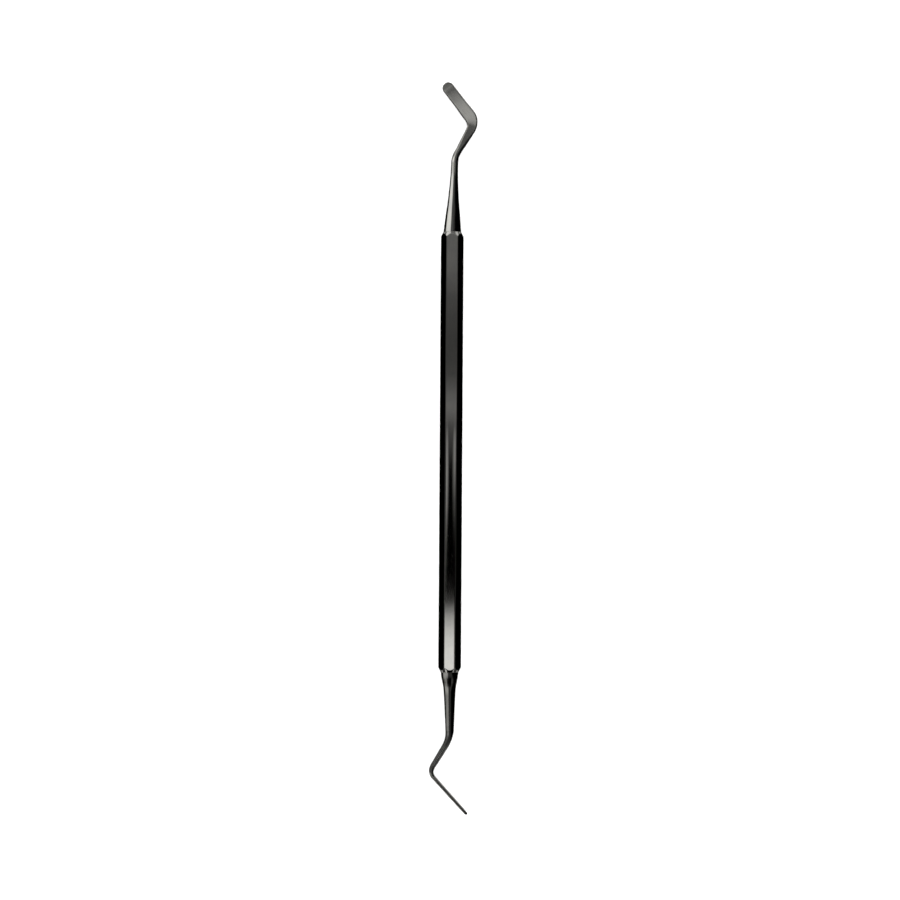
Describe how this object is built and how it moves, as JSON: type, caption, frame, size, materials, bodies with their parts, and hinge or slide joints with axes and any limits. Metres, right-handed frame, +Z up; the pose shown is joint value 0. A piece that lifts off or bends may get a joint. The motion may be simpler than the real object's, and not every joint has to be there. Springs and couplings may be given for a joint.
{
  "type": "double-ended spatula",
  "caption": "Slim metal hand spatula with a solid hexagonal handle and a bent, flat blade at each end: a wide round-ended one lying sideways and a narrow bluntly pointed one square to it.",
  "frame": {"origin": "middle of the handle's lower flat, on the plane the tool rests on", "axes": "+X along the handle to the wide blade, +Z up away from the surface the tool lies on, +Y completes the right-handed frame; the wide blade lies flat in the XY plane"},
  "size_m": [0.175, 0.0107, 0.0048],
  "materials": {
    "handle_steel": "polished stainless bar with fine lengthwise polishing lines",
    "blade_steel": "satin-polished forged stainless",
    "silver_solder": "bright silver solder"
  },
  "bodies": {
    "root": {"handle": "handle_steel", "wide_blade_end": "blade_steel", "narrow_blade_end": "blade_steel", "wide_end_solder": "silver_solder", "narrow_end_solder": "silver_solder"}
  },
  "joints": []
}
